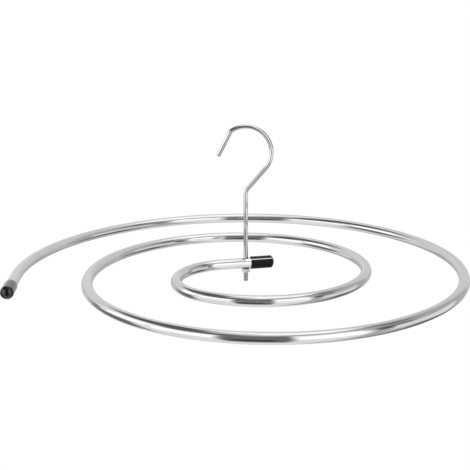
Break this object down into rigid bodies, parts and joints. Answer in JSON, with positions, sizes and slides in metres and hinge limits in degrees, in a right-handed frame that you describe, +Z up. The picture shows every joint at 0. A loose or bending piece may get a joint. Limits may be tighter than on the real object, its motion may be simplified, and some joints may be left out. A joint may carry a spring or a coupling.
{
  "type": "spiral drying rack",
  "caption": "Flat spiral of polished steel tube with black end caps, hung level from a swivelling wire hook, for drying sheets draped over its open turns.",
  "frame": {"origin": "inside of the hook's crown, where the rack hangs on a rail, on the hook's upright axis", "axes": "+Z up along the hook's shank, +X along the hook's open side to its round side, the longest way across the spiral, +Y to the rear"},
  "size_m": [0.4041, 0.3774, 0.1447],
  "materials": {
    "tube_steel": "mirror-polished stainless tube",
    "hook_steel": "bright drawn wire",
    "nut_steel": "bright turned steel",
    "cap_pvc": "glossy black soft plastic"
  },
  "bodies": {
    "hook": {"hook": "hook_steel", "nut": "nut_steel"},
    "spiral": {"spiral_tube": "tube_steel", "inner_cap": "cap_pvc", "outer_cap": "cap_pvc"}
  },
  "joints": [
    {"name": "hook_swivel", "type": "hinge", "parent": "hook", "child": "spiral", "pos_m": [0, 0, -0.12375], "axis": [0, 0, 1], "continuous": true}
  ]
}
